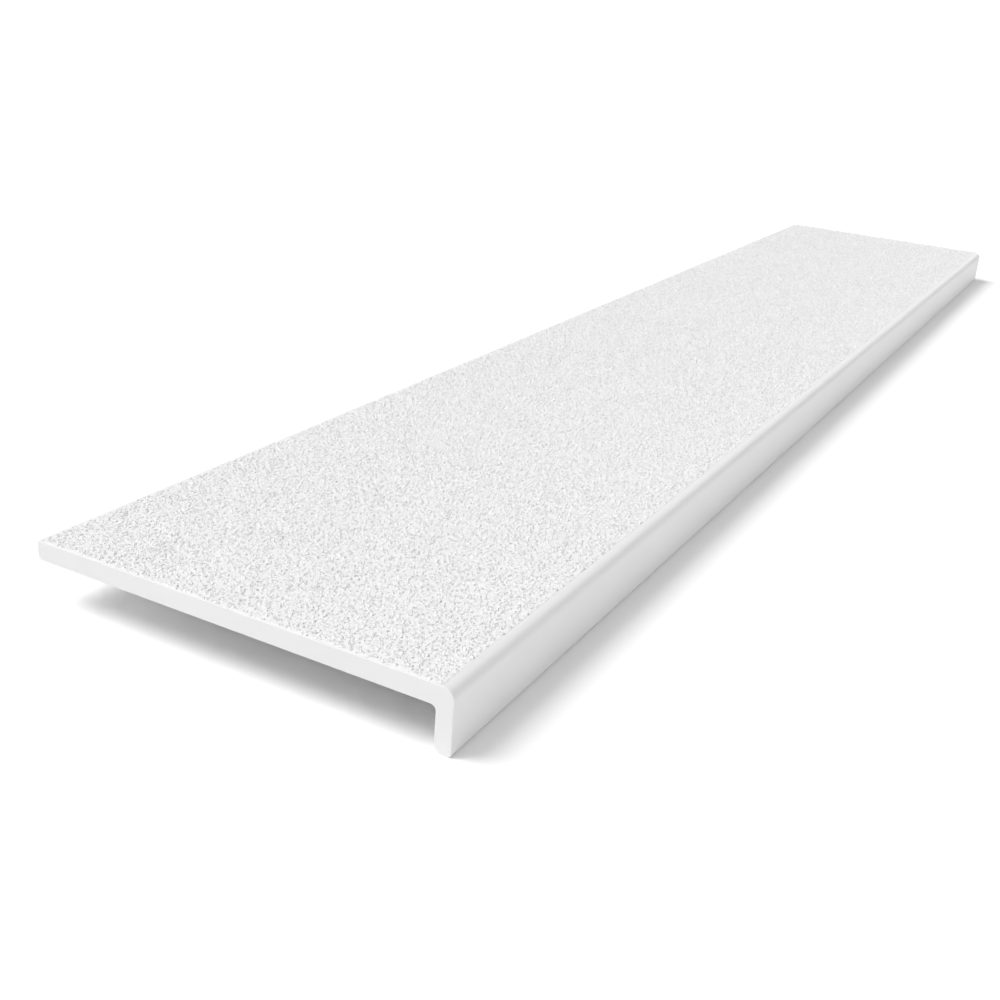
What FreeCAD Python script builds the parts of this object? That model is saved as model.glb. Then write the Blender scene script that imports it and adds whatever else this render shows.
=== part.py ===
"""Anti-slip tread board with a drop nose: a long white L-section board for a step, ledge or pool edge.

A flat deck carries a gritty walking surface. Along its front edge it turns down, over a smooth
rounded nose, into a short leg. It is a bonded sandwich: a moulded tray of glass-fibre laminate
makes every outer face, a timber core of tongued strips and rails fills it, and a second laminate
closes the underside and the inside of the leg.

Frame: X runs along the board, Y from the nose (-Y) to the rear edge (+Y), Z up. The origin is on
the deck's flat underside, at the middle of the board's length and depth. Millimetres.
"""

import FreeCAD
import Part

import os

# ---- overall sizes ----
board_length = 1800.0
board_depth = 345.0
deck_thickness = 15.0
overall_height = 48.0
leg_thickness = 12.5

# ---- laminates ----
tray_wall = 1.5
liner_wall = 1.5

# ---- outside radii of the section ----
nose_radius = 8.5
inner_corner_radius = 4.0
foot_inner_radius = 6.5
foot_outer_radius = 2.5
rear_edge_radius = 2.5
end_edge_radius = 0.6

# ---- timber core ----
nose_rail_width = 40.0
rear_rail_width = 30.0
end_rail_width = 45.0
strip_count = 6
tongue_thickness = 4.0
tongue_length = 5.0
leg_tongue_thickness = 3.5
leg_tongue_length = 5.0
groove_relief = 0.3

# ---- anti-slip surface ----
binder_thickness = 0.4
grit_height = 1.1
grit_nose_gap = 0.2
grit_rear_gap = 0.5
grit_corner_radius = 6.0
grit_step_in = 0.3

# ---- planes worked out from the sizes above ----
y_front = -board_depth / 2
y_rear = board_depth / 2
z_seat = 0.0
z_top = z_seat + deck_thickness
z_foot = z_top - overall_height
y_leg_inner = y_front + leg_thickness
x_end = board_length / 2

core_front = y_front + tray_wall
core_rear = y_rear - tray_wall
core_bottom = z_seat + liner_wall
core_top = z_top - tray_wall
core_end = x_end - tray_wall
leg_core_inner = y_leg_inner - liner_wall
leg_core_bottom = z_foot + tray_wall
core_middle = (core_bottom + core_top) / 2
leg_core_middle = (core_front + leg_core_inner) / 2

# The tray and the liner meet at the middle of the foot's flat stretch.
y_foot_seam = (y_front + foot_outer_radius + y_leg_inner - foot_inner_radius) / 2


def section_face(points):
    """A face in the YZ plane. Each point is (y, z) or (y, z, radius) for a rounded corner."""
    corners = [FreeCAD.Vector(0, p[0], p[1]) for p in points]
    radii = [p[2] if len(p) > 2 else 0.0 for p in points]
    return Part.Face(rounded_wire(corners, radii))


def plan_face(points, z):
    """A face at height z. Each point is (x, y) or (x, y, radius) for a rounded corner."""
    corners = [FreeCAD.Vector(p[0], p[1], z) for p in points]
    radii = [p[2] if len(p) > 2 else 0.0 for p in points]
    return Part.Face(rounded_wire(corners, radii))


def rounded_wire(corners, radii):
    """A closed wire of straight edges, with a tangent arc at each corner that has a radius.
    The corners are right angles, so each arc starts one radius from its corner."""
    count = len(corners)
    starts, arcs = [], []
    for i, corner in enumerate(corners):
        before = (corners[i - 1] - corner).normalize()
        after = (corners[(i + 1) % count] - corner).normalize()
        radius = radii[i]
        enter = corner + before * radius
        leave = corner + after * radius
        starts.append((enter, leave))
        if radius:
            centre = corner + (before + after) * radius
            middle = centre - (before + after).normalize() * radius
            arcs.append(Part.Arc(enter, middle, leave).toShape())
        else:
            arcs.append(None)
    edges = []
    for i in range(count):
        if arcs[i]:
            edges.append(arcs[i])
        leave = starts[i][1]
        enter = starts[(i + 1) % count][0]
        if leave.distanceToPoint(enter) > 1e-6:
            edges.append(Part.LineSegment(leave, enter).toShape())
    return Part.Wire(edges)


def along_board(face, x_low, x_high):
    """A section face stretched along X from x_low to x_high."""
    solid = face.extrude(FreeCAD.Vector(x_high - x_low, 0, 0))
    solid.translate(FreeCAD.Vector(x_low, 0, 0))
    return solid


def box(x_range, y_range, z_range):
    """A square-edged block between three pairs of planes."""
    (x0, x1), (y0, y1), (z0, z1) = x_range, y_range, z_range
    return Part.makeBox(x1 - x0, y1 - y0, z1 - z0, FreeCAD.Vector(x0, y0, z0))


def board_section():
    """The whole board's outline, an L with its nose, foot, rear edge and inner corner rounded."""
    return section_face(
        [
            (y_front, z_top, nose_radius),
            (y_rear, z_top, rear_edge_radius),
            (y_rear, z_seat, rear_edge_radius),
            (y_leg_inner, z_seat, inner_corner_radius),
            (y_leg_inner, z_foot, foot_inner_radius),
            (y_front, z_foot, foot_outer_radius),
        ]
    )


def cavity_section():
    """What the tray leaves open: its core space, and the liner's layer below and behind it."""
    below_foot = z_foot - foot_inner_radius
    return section_face(
        [
            (core_front, core_top, nose_radius - tray_wall),
            (core_rear, core_top, rear_edge_radius - tray_wall),
            (core_rear, below_foot),
            (y_foot_seam, below_foot),
            (y_foot_seam, leg_core_bottom),
            (core_front, leg_core_bottom, foot_outer_radius - tray_wall),
        ]
    )


def core_section():
    """The space inside both laminates, which the timber core and the cove fill."""
    return section_face(
        [
            (core_front, core_top, nose_radius - tray_wall),
            (core_rear, core_top, rear_edge_radius - tray_wall),
            (core_rear, core_bottom),
            (leg_core_inner, core_bottom, inner_corner_radius + liner_wall),
            (leg_core_inner, leg_core_bottom, foot_inner_radius - liner_wall),
            (core_front, leg_core_bottom, foot_outer_radius - tray_wall),
        ]
    )


def board_envelope():
    """The whole board as one solid, its edges eased at both ends, for cutting the pieces from."""
    solid = along_board(board_section(), -x_end, x_end)
    end_edges = []
    for face in solid.Faces:
        if abs(abs(face.CenterOfMass.x) - x_end) < 1e-6:
            end_edges += face.Edges
    return solid.makeFillet(end_edge_radius, end_edges)


def outer_tray():
    """The moulded tray: deck top, nose, front of the leg, rear edge, toe and both L-shaped ends."""
    return board_envelope().cut(along_board(cavity_section(), -core_end, core_end))


def under_liner():
    """The closing laminate, laid inside the tray's rim over the underside and behind the leg."""
    layer = board_section().common(cavity_section()).cut(core_section())
    return along_board(layer, -core_end, core_end)


def corner_cove():
    """The resin fillet that eases the liner round the corner between deck and leg."""
    radius = inner_corner_radius + liner_wall
    square = section_face(
        [
            (leg_core_inner, core_bottom),
            (leg_core_inner + radius, core_bottom),
            (leg_core_inner + radius, core_bottom - radius),
            (leg_core_inner, core_bottom - radius),
        ]
    )
    centre = FreeCAD.Vector(0, leg_core_inner + radius, core_bottom - radius)
    circle = Part.Circle(centre, FreeCAD.Vector(1, 0, 0), radius).toShape()
    bead = square.cut(Part.Face(Part.Wire([circle])))
    return along_board(bead, -core_end, core_end)


def groove_z():
    """The height range of every tongue and groove in the deck core, centred in its thickness."""
    return core_middle - tongue_thickness / 2, core_middle + tongue_thickness / 2


def leg_tongue_y():
    """The depth range of the leg rail's tongue, centred in the leg's core."""
    half = leg_tongue_thickness / 2
    return leg_core_middle - half, leg_core_middle + half


def groove_depth():
    """How deep a groove is cut: the tongue's length and a little room for glue."""
    return tongue_length + groove_relief


def nose_rail():
    """The front rail, grooved at the back for the panel and underneath for the leg rail."""
    y_back = core_front + nose_rail_width
    blank = section_face(
        [
            (core_front, core_top, nose_radius - tray_wall),
            (y_back, core_top),
            (y_back, core_bottom),
            (core_front, core_bottom),
        ]
    )
    rail = along_board(blank, -core_end, core_end)
    back_groove = box((-core_end, core_end), (y_back - groove_depth(), y_back), groove_z())
    leg_groove = box(
        (-core_end, core_end),
        leg_tongue_y(),
        (core_bottom, core_bottom + leg_tongue_length + groove_relief),
    )
    return rail.cut(back_groove).cut(leg_groove)


def leg_rail():
    """The upright rail inside the leg, with a tongue along its top edge."""
    blank = section_face(
        [
            (core_front, core_bottom),
            (leg_core_inner, core_bottom),
            (leg_core_inner, leg_core_bottom, foot_inner_radius - liner_wall),
            (core_front, leg_core_bottom, foot_outer_radius - tray_wall),
        ]
    )
    rail = along_board(blank, -core_end, core_end)
    tongue = box(
        (-core_end, core_end), leg_tongue_y(), (core_bottom, core_bottom + leg_tongue_length)
    )
    return rail.fuse(tongue).removeSplitter()


def rear_rail():
    """The rear rail, grooved along its front edge for the panel."""
    y_edge = core_rear - rear_rail_width
    blank = section_face(
        [
            (y_edge, core_top),
            (core_rear, core_top, rear_edge_radius - tray_wall),
            (core_rear, core_bottom),
            (y_edge, core_bottom),
        ]
    )
    rail = along_board(blank, -core_end, core_end)
    groove = box((-core_end, core_end), (y_edge, y_edge + groove_depth()), groove_z())
    return rail.cut(groove)


# The panel lies between the nose rail and the rear rail, and between the two end rails.
panel_front = core_front + nose_rail_width
panel_rear = core_rear - rear_rail_width
panel_end = core_end - end_rail_width


def end_rail(side):
    """A cross rail at one end (side -1 or +1), tenoned into both long rails, grooved on its inside."""
    x_range = sorted((side * panel_end, side * core_end))
    body = box(x_range, (panel_front, panel_rear), (core_bottom, core_top))
    tenons = box(x_range, (panel_front - tongue_length, panel_rear + tongue_length), groove_z())
    groove_x = sorted((side * panel_end, side * (panel_end + groove_depth())))
    groove_y = (panel_front - tongue_length, panel_rear + tongue_length)
    return body.fuse(tenons).cut(box(groove_x, groove_y, groove_z())).removeSplitter()


def core_strip(index):
    """One long strip of the panel, counted from the nose. Its front and ends are tongued.
    Its rear edge is grooved for the next strip, but the last one is tongued for the rear rail."""
    width = (panel_rear - panel_front) / strip_count
    y_low = panel_front + index * width
    y_high = y_low + width
    last = index == strip_count - 1
    body = box((-panel_end, panel_end), (y_low, y_high), (core_bottom, core_top))
    tongue_back = y_high + tongue_length if last else y_high
    tongues = box(
        (-panel_end - tongue_length, panel_end + tongue_length),
        (y_low - tongue_length, tongue_back),
        groove_z(),
    )
    strip = body.fuse(tongues)
    if not last:
        long_x = (-panel_end - tongue_length, panel_end + tongue_length)
        strip = strip.cut(box(long_x, (y_high - groove_depth(), y_high), groove_z()))
    return strip.removeSplitter()


def surface_slab(inset, z_low, thickness):
    """A thin slab on the flat of the deck, between its rounded edges, stepped in by inset."""
    x_edge = x_end - end_edge_radius - inset
    y_low = y_front + nose_radius + grit_nose_gap + inset
    y_high = y_rear - rear_edge_radius - grit_rear_gap - inset
    radius = grit_corner_radius - inset
    outline = plan_face(
        [
            (-x_edge, y_low, radius),
            (x_edge, y_low, radius),
            (x_edge, y_high, radius),
            (-x_edge, y_high, radius),
        ],
        z_low,
    )
    return outline.extrude(FreeCAD.Vector(0, 0, thickness))


def grit_binder():
    """The pigmented resin coat that the grit is cast into."""
    return surface_slab(0.0, z_top, binder_thickness)


def grit_layer():
    """The bonded grit, as a plain slab of its height above the binder."""
    return surface_slab(grit_step_in, z_top + binder_thickness, grit_height)


def make_parts():
    """Every piece by its node name."""
    parts = {
        "outer_tray": outer_tray(),
        "under_liner": under_liner(),
        "corner_cove": corner_cove(),
        "nose_rail": nose_rail(),
        "leg_rail": leg_rail(),
        "rear_rail": rear_rail(),
        "left_end_rail": end_rail(-1),
        "right_end_rail": end_rail(1),
        "grit_binder": grit_binder(),
        "grit_layer": grit_layer(),
    }
    for index in range(strip_count):
        parts[f"core_strip_{index + 1}"] = core_strip(index)
    return parts


def main():
    os.makedirs("parts", exist_ok=True)
    for name, shape in make_parts().items():
        bounds = shape.BoundBox
        print(
            f"{name}: {len(shape.Solids)} solid, valid {shape.isValid()}, {shape.Volume / 1000:.1f} cm3,"
            f" {bounds.XLength:.1f} x {bounds.YLength:.1f} x {bounds.ZLength:.1f} mm"
        )
        shape.exportStep(f"parts/{name}.step")


main()
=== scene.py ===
"""The looks of the anti-slip tread board: grit, finishes, floor, light and camera.

They go round the fixed CAD frame. Lengths are metres. The board lies along X with its nose
towards -Y, and stands on the foot of its leg.
"""

import math

import bpy
import numpy as np
from mathutils import Matrix, Vector


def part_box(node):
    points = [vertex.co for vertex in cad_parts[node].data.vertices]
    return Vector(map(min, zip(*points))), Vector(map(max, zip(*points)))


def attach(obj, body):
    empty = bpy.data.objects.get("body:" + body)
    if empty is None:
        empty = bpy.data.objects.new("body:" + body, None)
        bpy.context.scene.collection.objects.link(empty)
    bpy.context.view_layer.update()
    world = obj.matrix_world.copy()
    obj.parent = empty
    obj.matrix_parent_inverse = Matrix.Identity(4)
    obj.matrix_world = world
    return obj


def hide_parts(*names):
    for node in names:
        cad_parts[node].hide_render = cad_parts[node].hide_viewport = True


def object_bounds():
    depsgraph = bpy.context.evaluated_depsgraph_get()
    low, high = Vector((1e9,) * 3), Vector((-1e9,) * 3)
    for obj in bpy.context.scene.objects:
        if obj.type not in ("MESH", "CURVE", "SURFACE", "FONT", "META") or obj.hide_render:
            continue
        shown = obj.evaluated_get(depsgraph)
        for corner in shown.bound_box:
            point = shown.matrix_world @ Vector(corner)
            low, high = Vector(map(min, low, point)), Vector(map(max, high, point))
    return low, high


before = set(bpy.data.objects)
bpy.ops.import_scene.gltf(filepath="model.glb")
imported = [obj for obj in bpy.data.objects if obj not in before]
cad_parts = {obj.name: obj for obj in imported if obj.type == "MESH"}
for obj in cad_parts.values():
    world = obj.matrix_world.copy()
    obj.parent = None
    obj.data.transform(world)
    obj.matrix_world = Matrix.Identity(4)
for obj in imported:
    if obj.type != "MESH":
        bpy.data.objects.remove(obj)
cad_low, cad_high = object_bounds()

MM = 0.001

# ---- grit surface ----
GRIT_SEED = 41
GRIT_PITCH = 0.65 * MM  # spacing of the surface's vertices
GRIT_JITTER = 0.28  # how far a vertex wanders, in pitches
GRIT_SUNK = 0.14 * MM  # between grains the surface lies this far down in the binder
GRIT_TILES = 16
TILE_SEAT = 0.03 * MM  # height of the tiles' flat bottom above the binder's

# ---- grains ----
GRAIN_SPACING = 2.3 * MM
GRAIN_SCATTER = (-0.15, 1.15)  # where a grain may lie in its cell, a little past both sides
GRAIN_RADIUS = (0.6 * MM, 1.5 * MM)
GRAIN_SIZE_BIAS = 1.5  # above 1 makes small grains commoner
GRAIN_HEIGHT = (0.40 * MM, 1.09 * MM)
GRAIN_LOWEST = 0.6  # the smallest grains have this share of their height
GRAIN_SIDES = 5
GRAIN_TURN = 0.5  # how unevenly a grain's sides are turned, in radians
GRAIN_REACH = (0.7, 1.1)  # how far out a side is, in radii
GRAIN_SEARCH = 1.2  # vertices are worked out to this many of the largest radius
GRAIN_TILT = 0.7  # largest slope of a grain's top facet
GRAIN_WALL = 3.0  # slope of a grain's sides
GRAIN_EDGE = 0.4 * MM  # grain centres stay this far inside the coat's edge
END_RAGGED = 0.4 * MM  # and some are missing up to this much further in, at the ends
LONG_RAGGED = 1.3 * MM  # and along the nose and the rear edge

# ---- binder coat ----
COAT_CORNER = 6.0 * MM
BINDER_STEP = 3.0 * MM  # spacing of the outline's points
BINDER_BEVEL = 2.5 * MM  # width over which the edge rolls off
BINDER_EDGE_STEPS = 6
BINDER_WANDER = 0.2 * MM

# ---- bake maps ----
TOP_SHARE = 0.97  # of the map's height; the hidden faces share the rest
HIDDEN_START = 0.98
HIDDEN_SHARE = 0.02

# ---- finishes; tints are the darkest and lightest patches, as factors of the colour ----
WHITE = (0.79, 0.79, 0.79)
GELCOAT_TINTS = (0.985, 1.01)
GELCOAT_ROUGHNESS = (0.41, 0.49)
LAMINATE_TINTS = (0.94, 0.99)
CLOTH_THREAD = 2.5 * MM
FILLER = (0.74, 0.72, 0.66)
FILLER_DARK = (0.68, 0.66, 0.60)
FILLER_PALE = (0.78, 0.76, 0.70)
BEAD_STRETCH = 0.08  # scale of the filler's streaks along the bead
TIMBER = (0.6, 0.45, 0.28)
EARLY_WOOD = (0.70, 0.55, 0.36)
LATE_WOOD = (0.50, 0.35, 0.20)
GRAIN_STRETCH = 0.05  # scale of the timber's figure along its grain
TIMBER_ROUGHNESS = (0.52, 0.72)
RAIL_TONE = 0.9
END_RAIL_TONE = 0.95
STRIP_TONES = (1.0, 1.08)  # taken in turn by the strips
BINDER_WHITE = (0.85, 0.85, 0.85)
BINDER_TINTS = (0.97, 1.01)
GRIT_WHITE = (0.94, 0.94, 0.94)
# darkest and lightest grain cells: the low end is painted shade standing in for the shadow between
# grains, the high end a slightly lighter white
GRIT_TINTS_AND_SHADE = (0.74, 1.06)
GRIT_ROUGHNESS = (0.5, 0.75)
FACET_SIZE = 1.1 * MM
FACET_DEPTH = 0.75 * MM
DUST_SIZE = 0.5 * MM
DUST_DEPTH = 0.08 * MM
WAVE_PERIOD = math.pi / 10.0  # of the wave texture at a scale of 1

# ---- floor, light and camera ----
FLOOR_SIZE = 60.0
FLOOR_WHITE = (0.98, 0.98, 0.98)
CAMERA_PLACE = Vector((-1.4456, -0.4825, 0.4011))
CAMERA_AZIMUTH = -63.28
CAMERA_ELEVATION = 23.23
CAMERA_ROLL = 4.575
CAMERA_SENSOR = 36.0
CAMERA_LENS = 44.485
CAMERA_SHIFT = (-0.0227, 0.0129)
GLOW_LEVEL = 1.1  # brightness of the white band behind the floor
GLOW_FULL = 0.02  # the band is full up to this height, as the sine of an elevation
GLOW_END = 0.12  # and has faded out at this one
SKY_LEVEL = 0.6  # brightness of the sky at the horizon
SKY_END = 0.6  # and the height at which it has faded out
SUNS = (  # name, where it shines from, strength, width in degrees
    ("key", (-0.28, 0.67, 1.0), 2.44, 36),
    ("left", (-0.72, 0.22, 1.0), 1.08, 75),
    ("far", (0.85, -0.15, 0.5), 0.65, 40),
    ("nose_fill", (0.0, -1.0, 0.28), 0.59, 40),
)


# ---------------------------------------------------------------- shader helpers


def new_material(name, color, roughness, **sockets):
    """A node material, its tree, its Principled shader and its object coordinates."""
    material = bpy.data.materials.new(name)
    material.use_nodes = True
    tree = material.node_tree
    shader = tree.nodes["Principled BSDF"]
    shader.inputs["Base Color"].default_value = (*color, 1.0)
    shader.inputs["Roughness"].default_value = roughness
    for socket, value in sockets.items():
        shader.inputs[socket.replace("_", " ")].default_value = value
    coords = tree.nodes.new("ShaderNodeTexCoord").outputs["Object"]
    return material, tree, shader, coords


def noise(tree, coords, size, detail=2.0, roughness=0.5):
    """Noise whose blotches are about size metres across."""
    node = tree.nodes.new("ShaderNodeTexNoise")
    node.inputs["Scale"].default_value = 1.0 / size
    node.inputs["Detail"].default_value = detail
    node.inputs["Roughness"].default_value = roughness
    tree.links.new(coords, node.inputs["Vector"])
    return node.outputs["Fac"]


def stretched(tree, coords, scale):
    """Coordinates scaled by a factor along each axis."""
    node = tree.nodes.new("ShaderNodeMapping")
    node.inputs["Scale"].default_value = scale
    tree.links.new(coords, node.inputs["Vector"])
    return node.outputs["Vector"]


def color_between(tree, factor, low, high, start=0.3, stop=0.7):
    """A colour that runs from low to high as factor goes from start to stop."""
    ramp = tree.nodes.new("ShaderNodeValToRGB")
    ramp.color_ramp.elements[0].position = start
    ramp.color_ramp.elements[0].color = (*low, 1.0)
    ramp.color_ramp.elements[1].position = stop
    ramp.color_ramp.elements[1].color = (*high, 1.0)
    tree.links.new(factor, ramp.inputs["Fac"])
    return ramp.outputs["Color"]


def value_between(tree, factor, low, high):
    """A number that runs from low to high with factor."""
    node = tree.nodes.new("ShaderNodeMapRange")
    node.inputs["To Min"].default_value = low
    node.inputs["To Max"].default_value = high
    tree.links.new(factor, node.inputs["Value"])
    return node.outputs["Result"]


def shade(color, factor):
    """A colour made lighter or darker by a factor."""
    return tuple(channel * factor for channel in color)


def tints(color, factors):
    """The darker and the lighter shade of a colour, from a factor for each."""
    return [shade(color, factor) for factor in factors]


def bands(tree, coords, direction, width):
    """Smooth parallel bands, each width metres wide, across the X or Y direction."""
    node = tree.nodes.new("ShaderNodeTexWave")
    node.bands_direction = direction
    node.inputs["Scale"].default_value = WAVE_PERIOD / width
    node.inputs["Distortion"].default_value = 0.4
    node.inputs["Detail Scale"].default_value = 2.0
    tree.links.new(coords, node.inputs["Vector"])
    return node.outputs["Fac"]


def bump(tree, height, depth, below=None):
    """Relief of the given depth in metres, over the relief below."""
    node = tree.nodes.new("ShaderNodeBump")
    node.inputs["Strength"].default_value = 1.0
    node.inputs["Distance"].default_value = depth
    tree.links.new(height, node.inputs["Height"])
    if below is not None:
        tree.links.new(below, node.inputs["Normal"])
    return node.outputs["Normal"]


# ---------------------------------------------------------------- materials


def gelcoat_material():
    """White satin gelcoat straight from a mould: slow waves and faint orange peel."""
    material, tree, shader, coords = new_material("gelcoat", WHITE, 0.45, Specular_IOR_Level=0.5)
    clouds = noise(tree, coords, 120 * MM, detail=3.0)
    tint = color_between(tree, clouds, *tints(WHITE, GELCOAT_TINTS))
    tree.links.new(tint, shader.inputs["Base Color"])
    gloss = value_between(tree, clouds, *GELCOAT_ROUGHNESS)
    tree.links.new(gloss, shader.inputs["Roughness"])
    waves = bump(tree, noise(tree, coords, 60 * MM), 0.10 * MM)
    peel = bump(tree, noise(tree, coords, 2.5 * MM, detail=1.0), 0.012 * MM, waves)
    tree.links.new(peel, shader.inputs["Normal"])
    return material


def laminate_material():
    """The hand-laid laminate of the underside, with the weave of its glass cloth just showing."""
    material, tree, shader, coords = new_material("laminate", WHITE, 0.5, Specular_IOR_Level=0.4)
    clouds = noise(tree, coords, 70 * MM, detail=4.0)
    tint = color_between(tree, clouds, *tints(WHITE, LAMINATE_TINTS))
    tree.links.new(tint, shader.inputs["Base Color"])
    warp = bands(tree, coords, "X", CLOTH_THREAD)
    weft = bands(tree, coords, "Y", CLOTH_THREAD)
    cloth = tree.nodes.new("ShaderNodeMath")
    cloth.operation = "MULTIPLY"
    tree.links.new(warp, cloth.inputs[0])
    tree.links.new(weft, cloth.inputs[1])
    weave = bump(tree, cloth.outputs["Value"], 0.03 * MM)
    brushed = bump(tree, noise(tree, coords, 14 * MM, detail=3.0), 0.12 * MM, weave)
    tree.links.new(brushed, shader.inputs["Normal"])
    return material


def filler_material():
    """Thickened resin, smoothed with a spatula: off-white, with streaks along the bead."""
    material, tree, shader, coords = new_material("resin_filler", FILLER, 0.6)
    streaks = noise(tree, stretched(tree, coords, (BEAD_STRETCH, 1.0, 1.0)), 4 * MM, detail=4.0)
    tint = color_between(tree, streaks, FILLER_DARK, FILLER_PALE)
    tree.links.new(tint, shader.inputs["Base Color"])
    tree.links.new(bump(tree, streaks, 0.05 * MM), shader.inputs["Normal"])
    return material


def timber_material(name, along_x, tone):
    """Planed pale timber with its grain along X or along Y. tone lightens or darkens the board."""
    material, tree, shader, coords = new_material(name, TIMBER, 0.62)
    scale = (GRAIN_STRETCH, 1.0, 1.0) if along_x else (1.0, GRAIN_STRETCH, 1.0)
    along_grain = stretched(tree, coords, scale)
    rings = noise(tree, along_grain, 9 * MM, detail=5.0, roughness=0.6)
    early, late = shade(EARLY_WOOD, tone), shade(LATE_WOOD, tone)
    tree.links.new(color_between(tree, rings, late, early), shader.inputs["Base Color"])
    pores = noise(tree, along_grain, 0.9 * MM, detail=2.0)
    gloss = value_between(tree, pores, *TIMBER_ROUGHNESS)
    tree.links.new(gloss, shader.inputs["Roughness"])
    fibres = bump(tree, pores, 0.04 * MM, bump(tree, rings, 0.06 * MM))
    tree.links.new(fibres, shader.inputs["Normal"])
    return material


def binder_material():
    """The pigmented resin between the grains, rolled on by hand, so slightly stippled."""
    material, tree, shader, coords = new_material(
        "binder", BINDER_WHITE, 0.5, Specular_IOR_Level=0.4
    )
    patches = noise(tree, coords, 9 * MM, detail=3.0)
    tint = color_between(tree, patches, *tints(BINDER_WHITE, BINDER_TINTS))
    tree.links.new(tint, shader.inputs["Base Color"])
    stipple = bump(tree, noise(tree, coords, 1.6 * MM, detail=2.0), 0.18 * MM)
    tree.links.new(stipple, shader.inputs["Normal"])
    return material


def grit_material():
    """Crushed grains under a top coat, with broken facets. Each grain cell is a slightly different
    white, and the darker cells carry painted shade for the shadow among the grains.
    """
    material, tree, shader, coords = new_material("grit", GRIT_WHITE, 0.6, Specular_IOR_Level=0.3)
    facets = tree.nodes.new("ShaderNodeTexVoronoi")
    facets.inputs["Scale"].default_value = 1.0 / FACET_SIZE
    tree.links.new(coords, facets.inputs["Vector"])
    cell_gray = tree.nodes.new("ShaderNodeRGBToBW")
    tree.links.new(facets.outputs["Color"], cell_gray.inputs["Color"])
    # each grain cell gets a random tone; the darker cells are painted shade for the shadow among
    # the grains
    low, high = tints(GRIT_WHITE, GRIT_TINTS_AND_SHADE)
    tint = color_between(tree, cell_gray.outputs["Val"], low, high, start=0.2, stop=0.8)
    tree.links.new(tint, shader.inputs["Base Color"])
    gloss = value_between(tree, noise(tree, coords, 3 * MM), *GRIT_ROUGHNESS)
    tree.links.new(gloss, shader.inputs["Roughness"])
    chips = bump(tree, facets.outputs["Distance"], FACET_DEPTH)
    dust = bump(tree, noise(tree, coords, DUST_SIZE, detail=1.0), DUST_DEPTH, chips)
    tree.links.new(dust, shader.inputs["Normal"])
    return material


# ---------------------------------------------------------------- meshes


def mesh_piece(name, points, face_arrays, smooth, material):
    """A piece from its points and from arrays of faces, one array for each number of corners.
    smooth says for each array whether its faces are smooth-shaded."""
    mesh = bpy.data.meshes.new(name)
    mesh.vertices.add(len(points))
    mesh.vertices.foreach_set("co", np.asarray(points, np.float32).ravel())
    corners = np.concatenate([faces.ravel() for faces in face_arrays])
    sizes = np.concatenate([np.full(len(faces), faces.shape[1]) for faces in face_arrays])
    mesh.loops.add(len(corners))
    mesh.loops.foreach_set("vertex_index", corners.astype(np.int32))
    mesh.polygons.add(len(sizes))
    mesh.polygons.foreach_set("loop_start", (np.cumsum(sizes) - sizes).astype(np.int32))
    shading = [np.full(len(faces), flag) for faces, flag in zip(face_arrays, smooth)]
    mesh.polygons.foreach_set("use_smooth", np.concatenate(shading))
    mesh.update(calc_edges=True)
    mesh.validate()
    mesh.materials.append(material)
    piece = bpy.data.objects.new(name, mesh)
    bpy.context.scene.collection.objects.link(piece)
    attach(piece, "root")
    return piece


def planar_uv(piece, low, size, top_faces):
    """A bake map from above. The first top_faces faces, with four corners each, fill it, and
    the hidden rest gets a thin strip."""
    mesh = piece.data
    corner_vertex = np.empty(len(mesh.loops), np.int32)
    mesh.loops.foreach_get("vertex_index", corner_vertex)
    points = np.empty(len(mesh.vertices) * 3, np.float32)
    mesh.vertices.foreach_get("co", points)
    flat = (points.reshape(-1, 3)[corner_vertex, :2] - low) / size
    top_corners = top_faces * 4
    flat[:, 1] *= TOP_SHARE
    flat[top_corners:] = flat[top_corners:] * (1.0, HIDDEN_SHARE) + (0.0, HIDDEN_START)
    layer = mesh.uv_layers.new(name="OFBake")
    layer.uv.foreach_set("vector", np.clip(flat, 0.0, 1.0).astype(np.float32).ravel())


# ---------------------------------------------------------------- grit


def vertex_grid(low, high, rng):
    """X and Y of a grid of vertices over the rectangle. All but its border wander a little."""
    counts = [int(round((high[i] - low[i]) / GRIT_PITCH)) + 1 for i in range(2)]
    xs, ys = (np.linspace(low[i], high[i], counts[i]) for i in range(2))
    grid = np.stack(np.meshgrid(xs, ys, indexing="ij"))
    wander = rng.uniform(-GRIT_JITTER, GRIT_JITTER, grid.shape) * GRIT_PITCH
    grid[:, 1:-1, 1:-1] += wander[:, 1:-1, 1:-1]
    return grid


def depth_inside(points, low, high):
    """How far each point lies inside the coat's rounded outline, negative outside it."""
    middle, half = (low + high) / 2, (high - low) / 2
    shape = (2,) + (1,) * (points.ndim - 1)
    beyond = np.abs(points - middle.reshape(shape)) - (half - COAT_CORNER).reshape(shape)
    return COAT_CORNER - np.hypot(*np.maximum(beyond, 0.0)) - np.minimum(beyond.max(axis=0), 0.0)


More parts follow.
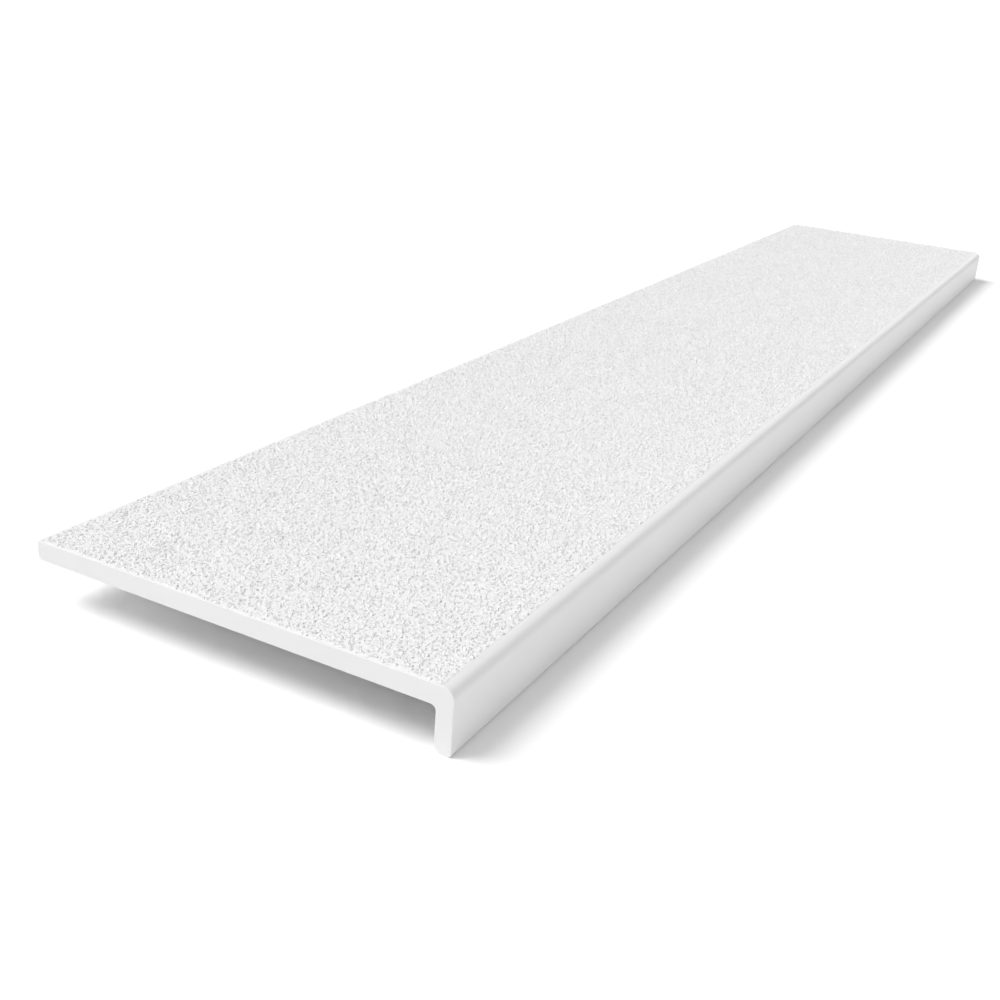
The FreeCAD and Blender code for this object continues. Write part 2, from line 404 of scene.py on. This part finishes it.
def grain_centres(low, high, rng):
    """Scattered grain centres, close but never in rows, sparser along the coat's edges."""
    inner_low, inner_high = low + GRAIN_EDGE, high - GRAIN_EDGE
    counts = ((inner_high - inner_low) / GRAIN_SPACING).astype(int)
    cells = np.stack(np.meshgrid(*(np.arange(n) for n in counts), indexing="ij")).reshape(2, -1)
    spots = (cells + rng.uniform(*GRAIN_SCATTER, cells.shape)) / counts[:, None]
    centres = inner_low[:, None] + spots * (inner_high - inner_low)[:, None]
    ragged = np.array((END_RAGGED, LONG_RAGGED))[:, None] * rng.uniform(0, 1, centres.shape) ** 2
    from_sides = np.minimum(centres - low[:, None], high[:, None] - centres)
    kept = np.all(from_sides > GRAIN_EDGE + ragged, axis=0)
    return centres[:, kept & (depth_inside(centres, low, high) > GRAIN_EDGE)]


def binder_level(depth, thickness):
    """The binder's height over the deck at a depth inside its edge, where it rolls off."""
    rise = 1.0 - np.clip(depth / BINDER_BEVEL, 0.0, 1.0)
    return thickness * np.sqrt(1.0 - rise**2)


def grain_heights(grid, thickness, rng):
    """The grit's height above the binder at each vertex of the grid. A grain is a rough block:
    a tilted top facet, cut down all round by steep sides at uneven angles."""
    low_xy = grid[:, 0, 0]
    high_xy = grid[:, -1, -1]
    centres = grain_centres(low_xy, high_xy, rng)
    count = centres.shape[1]
    size = rng.uniform(0, 1, count) ** GRAIN_SIZE_BIAS
    radius = GRAIN_RADIUS[0] + size * (GRAIN_RADIUS[1] - GRAIN_RADIUS[0])
    height = rng.uniform(*GRAIN_HEIGHT, count) * (GRAIN_LOWEST + (1 - GRAIN_LOWEST) * size)
    tilt = rng.uniform(-GRAIN_TILT, GRAIN_TILT, (2, count))
    sides = (GRAIN_SIDES, count)
    even = np.arange(GRAIN_SIDES)[:, None] * (2 * math.pi / GRAIN_SIDES)
    angle = even + rng.uniform(-GRAIN_TURN, GRAIN_TURN, sides) + rng.uniform(0, 2 * math.pi, count)
    reach = radius * rng.uniform(*GRAIN_REACH, sides)
    shape = np.array(grid.shape[1:])
    pitch = (high_xy - low_xy) / (shape - 1)
    nearest = np.rint((centres - low_xy[:, None]) / pitch[:, None]).astype(int)
    span = int(math.ceil(GRAIN_RADIUS[1] * GRAIN_SEARCH / GRIT_PITCH))
    level = binder_level(depth_inside(grid, low_xy, high_xy), thickness) - GRIT_SUNK
    field = np.maximum(level, 2 * TILE_SEAT) - thickness
    for step_x in range(-span, span + 1):
        for step_y in range(-span, span + 1):
            column, row = nearest[0] + step_x, nearest[1] + step_y
            inside = (column > 0) & (column < shape[0] - 1) & (row > 0) & (row < shape[1] - 1)
            column, row = column[inside], row[inside]
            dx, dy = grid[:, column, row] - centres[:, inside]
            rise = height[inside] + tilt[0, inside] * dx + tilt[1, inside] * dy
            for side in range(GRAIN_SIDES):
                out = np.cos(angle[side, inside]) * dx + np.sin(angle[side, inside]) * dy
                rise = np.minimum(rise, (reach[side, inside] - out) * GRAIN_WALL)
            np.maximum.at(field, (column, row), rise)
    return np.minimum(field, GRAIN_HEIGHT[1])


def grit_tile(name, grid, heights, base, bottom, material):
    """One closed stretch of the grit: its rough top, and a flat bottom sunk in the binder."""
    columns, rows = heights.shape
    top = np.stack([grid[0], grid[1], base + heights], axis=-1).reshape(-1, 3)
    index = np.arange(columns * rows).reshape(columns, rows)
    quads = np.stack(
        [index[:-1, :-1], index[1:, :-1], index[1:, 1:], index[:-1, 1:]], axis=-1
    ).reshape(-1, 4)
    rim = np.concatenate([index[:-1, 0], index[-1, :-1], index[:0:-1, -1], index[0, :0:-1]])
    under = top[rim].copy()
    under[:, 2] = bottom
    low_rim = np.arange(len(rim)) + len(top)
    walls = np.stack([np.roll(rim, -1), rim, low_rim, np.roll(low_rim, -1)], axis=-1)
    faces = [quads, walls, low_rim[::-1][None, :]]
    piece = mesh_piece(name, np.vstack([top, under]), faces, (True, False, False), material)
    low = top[:, :2].min(axis=0)
    planar_uv(piece, low, top[:, :2].max(axis=0) - low, len(quads))
    return piece


def make_grit():
    """The whole coat of grains, in tiles side by side along the board."""
    rng = np.random.default_rng(GRIT_SEED)
    coat_low, coat_high = (np.array(corner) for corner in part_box("grit_layer"))
    binder_low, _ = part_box("grit_binder")
    grid = vertex_grid(coat_low[:2], coat_high[:2], rng)
    heights = grain_heights(grid, coat_low[2] - binder_low[2], rng)
    material = grit_material()
    cuts = np.linspace(0, heights.shape[0] - 1, GRIT_TILES + 1).astype(int)
    for number, (start, stop) in enumerate(zip(cuts[:-1], cuts[1:]), 1):
        tile = grit_tile(
            f"grit_coat_{number}",
            grid[:, start : stop + 1],
            heights[start : stop + 1],
            coat_low[2],
            binder_low[2] + TILE_SEAT,
            material,
        )
        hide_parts("grit_layer")


def make_binder():
    """The resin coat under the grit: a thin slab whose edge wanders and rolls off softly."""
    rng = np.random.default_rng(GRIT_SEED + 1)
    low, high = (np.array(corner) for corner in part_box("grit_binder"))
    outline, outward = rounded_outline(low[:2], high[:2], COAT_CORNER, BINDER_STEP)
    wander = rng.uniform(-1.0, 1.0, len(outline))
    wander = (np.roll(wander, 1) + wander + np.roll(wander, -1)) / 3 * BINDER_WANDER
    outline = outline + outward * (wander - BINDER_WANDER)[:, None]
    rings = []
    for step in range(BINDER_EDGE_STEPS + 1):
        angle = step / BINDER_EDGE_STEPS * math.pi / 2
        inset = (1 - math.cos(angle)) * BINDER_BEVEL
        ring = outline - outward * inset
        level = low[2] + binder_level(inset, high[2] - low[2])
        rings.append(np.column_stack([ring, np.full(len(ring), level)]))
    count = len(outline)
    index = np.arange(count * len(rings)).reshape(len(rings), count)
    after = np.roll(index, -1, axis=1)
    edge = np.stack([index[:-1], after[:-1], after[1:], index[1:]], axis=-1).reshape(-1, 4)
    faces = [edge, index[-1][None, :], index[0][::-1][None, :]]
    points = np.vstack(rings)
    shading = (True, False, False)
    piece = mesh_piece("binder_coat", points, faces, shading, binder_material())
    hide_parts("grit_binder")


def rounded_outline(low, high, radius, step):
    """Points about step apart round a rectangle with rounded corners, anticlockwise, and the
    outward direction at each."""
    points, outward = [], []
    for turn, (sign_x, sign_y) in enumerate(((1, -1), (1, 1), (-1, 1), (-1, -1))):
        side = high - low - 2 * radius
        centre_x = high[0] - radius if sign_x > 0 else low[0] + radius
        centre_y = high[1] - radius if sign_y > 0 else low[1] + radius
        start = (turn - 1) * math.pi / 2
        arc_steps = int(math.ceil(radius * math.pi / 2 / step))
        for k in range(arc_steps + 1):
            angle = start + k / arc_steps * math.pi / 2
            away = np.array((math.cos(angle), math.sin(angle)))
            points.append(np.array((centre_x, centre_y)) + radius * away)
            outward.append(away)
        length = side[1] if turn % 2 == 0 else side[0]
        straight_steps = int(length / step)
        forward = np.array((-outward[-1][1], outward[-1][0]))
        last, away = points[-1], outward[-1]
        for k in range(1, straight_steps):
            points.append(last + forward * (length * k / straight_steps))
            outward.append(away)
    return np.array(points), np.array(outward)


# ---------------------------------------------------------------- finishes of the CAD nodes


def dress(node, material):
    """Gives a carried-over CAD node its material."""
    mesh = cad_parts[node].data
    mesh.materials.clear()
    mesh.materials.append(material)


def dress_cad_nodes():
    """Every carried-over CAD node gets its finish: shell, filler, rails and strips."""
    dress("outer_tray", gelcoat_material())
    dress("under_liner", laminate_material())
    dress("corner_cove", filler_material())
    hardwood = timber_material("rail_timber", True, RAIL_TONE)
    for rail in ("nose_rail", "leg_rail", "rear_rail"):
        dress(rail, hardwood)
    cross_grain = timber_material("cross_rail_timber", False, END_RAIL_TONE)
    for side in ("left", "right"):
        dress(f"{side}_end_rail", cross_grain)
    strips = sorted(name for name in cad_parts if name.startswith("core_strip_"))
    timbers = [
        timber_material(f"strip_timber_{number}", True, tone)
        for number, tone in enumerate(STRIP_TONES, 1)
    ]
    for number, strip in enumerate(strips):
        dress(strip, timbers[number % len(timbers)])


# ---------------------------------------------------------------- floor, light and camera


def make_floor():
    """A plain white floor under the foot of the leg."""
    half = FLOOR_SIZE / 2
    level = cad_low.z
    mesh = bpy.data.meshes.new("floor")
    sides = ((-half, -half), (half, -half), (half, half), (-half, half))
    corners = [(x, y, level) for x, y in sides]
    mesh.from_pydata(corners, [], [(0, 1, 2, 3)])
    material, _, _, _ = new_material("floor", FLOOR_WHITE, 0.9, Specular_IOR_Level=0.1)
    mesh.materials.append(material)
    floor = bpy.data.objects.new("floor", mesh)
    bpy.context.scene.collection.objects.link(floor)


def fading(tree, height, level, start, end):
    """A brightness that falls from level to nothing as height goes from start to end."""
    node = tree.nodes.new("ShaderNodeMapRange")
    node.inputs["From Min"].default_value = start
    node.inputs["From Max"].default_value = end
    node.inputs["To Min"].default_value = level
    node.inputs["To Max"].default_value = 0.0
    tree.links.new(height, node.inputs["Value"])
    return node.outputs["Result"]


def make_world():
    """A studio with a white band behind the floor and a dark ceiling."""
    world = bpy.data.worlds.new("studio")
    bpy.context.scene.world = world
    world.use_nodes = True
    tree = world.node_tree
    background = tree.nodes["Background"]
    background.inputs["Strength"].default_value = 1.0
    coords = tree.nodes.new("ShaderNodeTexCoord")
    split = tree.nodes.new("ShaderNodeSeparateXYZ")
    tree.links.new(coords.outputs["Generated"], split.inputs["Vector"])
    level = tree.nodes.new("ShaderNodeMath")
    level.operation = "MAXIMUM"
    tree.links.new(fading(tree, split.outputs["Z"], SKY_LEVEL, 0.0, SKY_END), level.inputs[0])
    band = fading(tree, split.outputs["Z"], GLOW_LEVEL, GLOW_FULL, GLOW_END)
    tree.links.new(band, level.inputs[1])
    tree.links.new(level.outputs["Value"], background.inputs["Color"])


def make_sun(name, toward, strength, width):
    """A far soft light that shines from the toward direction, width degrees across."""
    data = bpy.data.lights.new(name, "SUN")
    data.energy = strength
    data.angle = math.radians(width)
    light = bpy.data.objects.new(name, data)
    light.rotation_mode = "QUATERNION"
    light.rotation_quaternion = Vector(toward).to_track_quat("Z", "Y")
    bpy.context.scene.collection.objects.link(light)


def make_lights():
    """The studio world and its suns."""
    make_world()
    for sun in SUNS:
        make_sun(*sun)


def make_camera():
    """The camera from the near left end, a little rolled, looking along the board."""
    azimuth, elevation = math.radians(CAMERA_AZIMUTH), math.radians(CAMERA_ELEVATION)
    forward = Vector(
        (
            -math.sin(azimuth) * math.cos(elevation),
            math.cos(azimuth) * math.cos(elevation),
            -math.sin(elevation),
        )
    )
    right = forward.cross(Vector((0, 0, 1))).normalized()
    turn = Matrix((right, right.cross(forward), -forward)).transposed()
    data = bpy.data.cameras.new("camera")
    data.sensor_width = CAMERA_SENSOR
    data.lens = CAMERA_LENS
    data.shift_x, data.shift_y = CAMERA_SHIFT
    camera = bpy.data.objects.new("camera", data)
    camera.rotation_mode = "QUATERNION"
    roll = Matrix.Rotation(math.radians(CAMERA_ROLL), 3, "Z")
    camera.rotation_quaternion = (turn @ roll).to_quaternion()
    camera.location = CAMERA_PLACE
    bpy.context.scene.collection.objects.link(camera)
    bpy.context.scene.camera = camera


make_camera()
make_floor()
make_lights()
bpy.context.scene.view_settings.view_transform = "Standard"
dress_cad_nodes()
make_binder()
make_grit()
